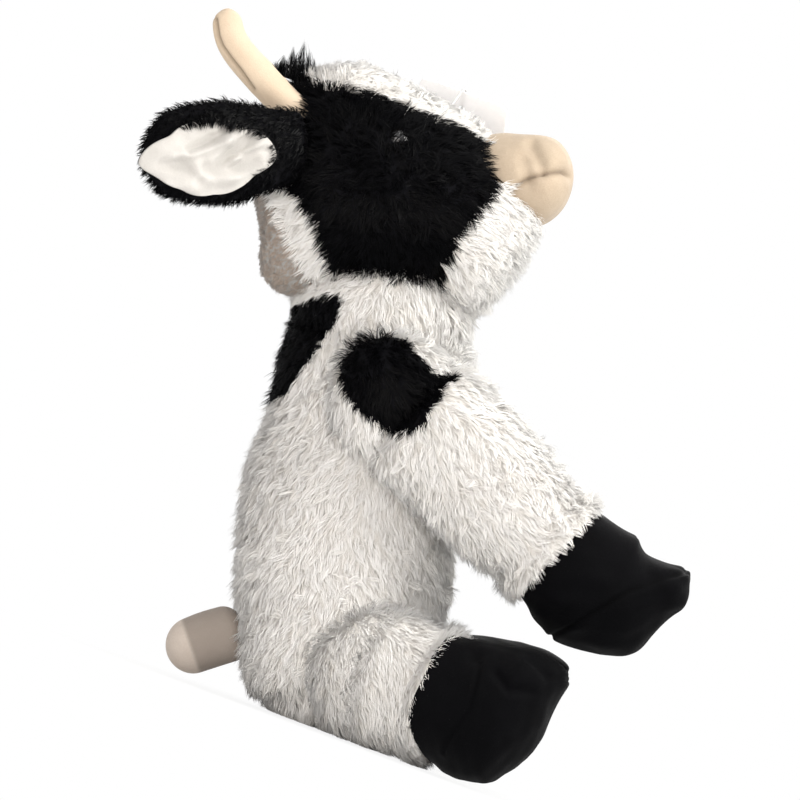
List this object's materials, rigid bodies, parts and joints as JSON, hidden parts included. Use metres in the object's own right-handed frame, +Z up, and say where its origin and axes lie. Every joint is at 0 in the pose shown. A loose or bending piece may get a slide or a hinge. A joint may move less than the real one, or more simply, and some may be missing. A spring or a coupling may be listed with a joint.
{
  "type": "plush cow",
  "caption": "Sitting plush cow with long white pile, black patches, cream muzzle and horns, black hooves, turning head, arms, legs, ears and tail, and a blank swing tag.",
  "frame": {"origin": "middle of the flat patch that the cow sits on, on the floor", "axes": "+Z up, -Y the way the cow faces, +X its left side"},
  "size_m": [0.2364, 0.3704, 0.3593],
  "materials": {
    "long_white_pile": "long white plush pile",
    "long_black_pile": "long black plush pile",
    "cream_plush": "short cream plush",
    "white_plush": "short white plush",
    "black_plush": "short black plush",
    "grey_plush": "short greyed white plush",
    "stuffing": "loose polyester fibre",
    "pellet_bag": "plain woven cloth",
    "eye_plastic": "polished black plastic",
    "clear_plastic": "translucent plastic",
    "card": "blank white card",
    "label_cloth": "blank white satin tape"
  },
  "bodies": {
    "torso": {"torso_cover": "long_white_pile", "torso_stuffing": "stuffing", "seat_pellet_bag": "pellet_bag", "care_label": "label_cloth"},
    "neck": {"neck_stuffing": "stuffing"},
    "head": {"head_cover": "long_black_pile", "head_stuffing": "stuffing", "muzzle_cover": "cream_plush", "muzzle_stuffing": "stuffing", "tag_loop": "clear_plastic", "horn_cover_left": "cream_plush", "horn_stuffing_left": "stuffing", "eye_left": "eye_plastic", "eye_washer_left": "clear_plastic", "horn_cover_right": "cream_plush", "horn_stuffing_right": "stuffing", "eye_right": "eye_plastic", "eye_washer_right": "clear_plastic"},
    "tag": {"hang_tag": "card"},
    "tail": {"tail_cover": "grey_plush", "tail_stuffing": "stuffing"},
    "ear_left": {"ear_back_left": "long_black_pile", "ear_lining_left": "white_plush"},
    "arm_left": {"arm_cover_left": "long_white_pile", "front_hoof_left": "black_plush", "arm_stuffing_left": "stuffing"},
    "leg_left": {"leg_cover_left": "long_white_pile", "hind_hoof_left": "black_plush", "leg_stuffing_left": "stuffing"},
    "ear_right": {"ear_back_right": "long_black_pile", "ear_lining_right": "white_plush"},
    "arm_right": {"arm_cover_right": "long_white_pile", "front_hoof_right": "black_plush", "arm_stuffing_right": "stuffing"},
    "leg_right": {"leg_cover_right": "long_white_pile", "hind_hoof_right": "black_plush", "leg_stuffing_right": "stuffing"}
  },
  "joints": [
    {"name": "neck_turn", "type": "hinge", "parent": "torso", "child": "neck", "pos_m": [0, 0.043, 0.226], "axis": [0, 0, 1], "range_deg": [-25, 25]},
    {"name": "head_nod", "type": "hinge", "parent": "neck", "child": "head", "pos_m": [0, 0.043, 0.226], "axis": [1, 0, 0], "range_deg": [-12, 12]},
    {"name": "tag_swing", "type": "hinge", "parent": "head", "child": "tag", "pos_m": [0.03198, 0.03996, 0.34763], "axis": [-0.2674, -0.9636, 0], "range_deg": [0, 40]},
    {"name": "tail_wag", "type": "hinge", "parent": "torso", "child": "tail", "pos_m": [0, 0.053, 0.04], "axis": [0, 0, 1], "range_deg": [-25, 25]},
    {"name": "ear_left_flap", "type": "hinge", "parent": "head", "child": "ear_left", "pos_m": [0.0505, 0.116, 0.298], "axis": [0, -0.4067, -0.9135], "range_deg": [-5, 50]},
    {"name": "arm_left_raise", "type": "hinge", "parent": "torso", "child": "arm_left", "pos_m": [0.055, 0.021, 0.187], "axis": [-1, 0, 0], "range_deg": [0, 40]},
    {"name": "leg_left_splay", "type": "hinge", "parent": "torso", "child": "leg_left", "pos_m": [0.05, -0.012, 0.0395], "axis": [0, 0, 1], "range_deg": [-15, 25]},
    {"name": "ear_right_flap", "type": "hinge", "parent": "head", "child": "ear_right", "pos_m": [-0.0505, 0.116, 0.298], "axis": [0, 0.4067, 0.9135], "range_deg": [-5, 50]},
    {"name": "arm_right_raise", "type": "hinge", "parent": "torso", "child": "arm_right", "pos_m": [-0.055, 0.021, 0.187], "axis": [-1, 0, 0], "range_deg": [0, 40]},
    {"name": "leg_right_splay", "type": "hinge", "parent": "torso", "child": "leg_right", "pos_m": [-0.05, -0.012, 0.0395], "axis": [0, 0, -1], "range_deg": [-15, 25]}
  ]
}
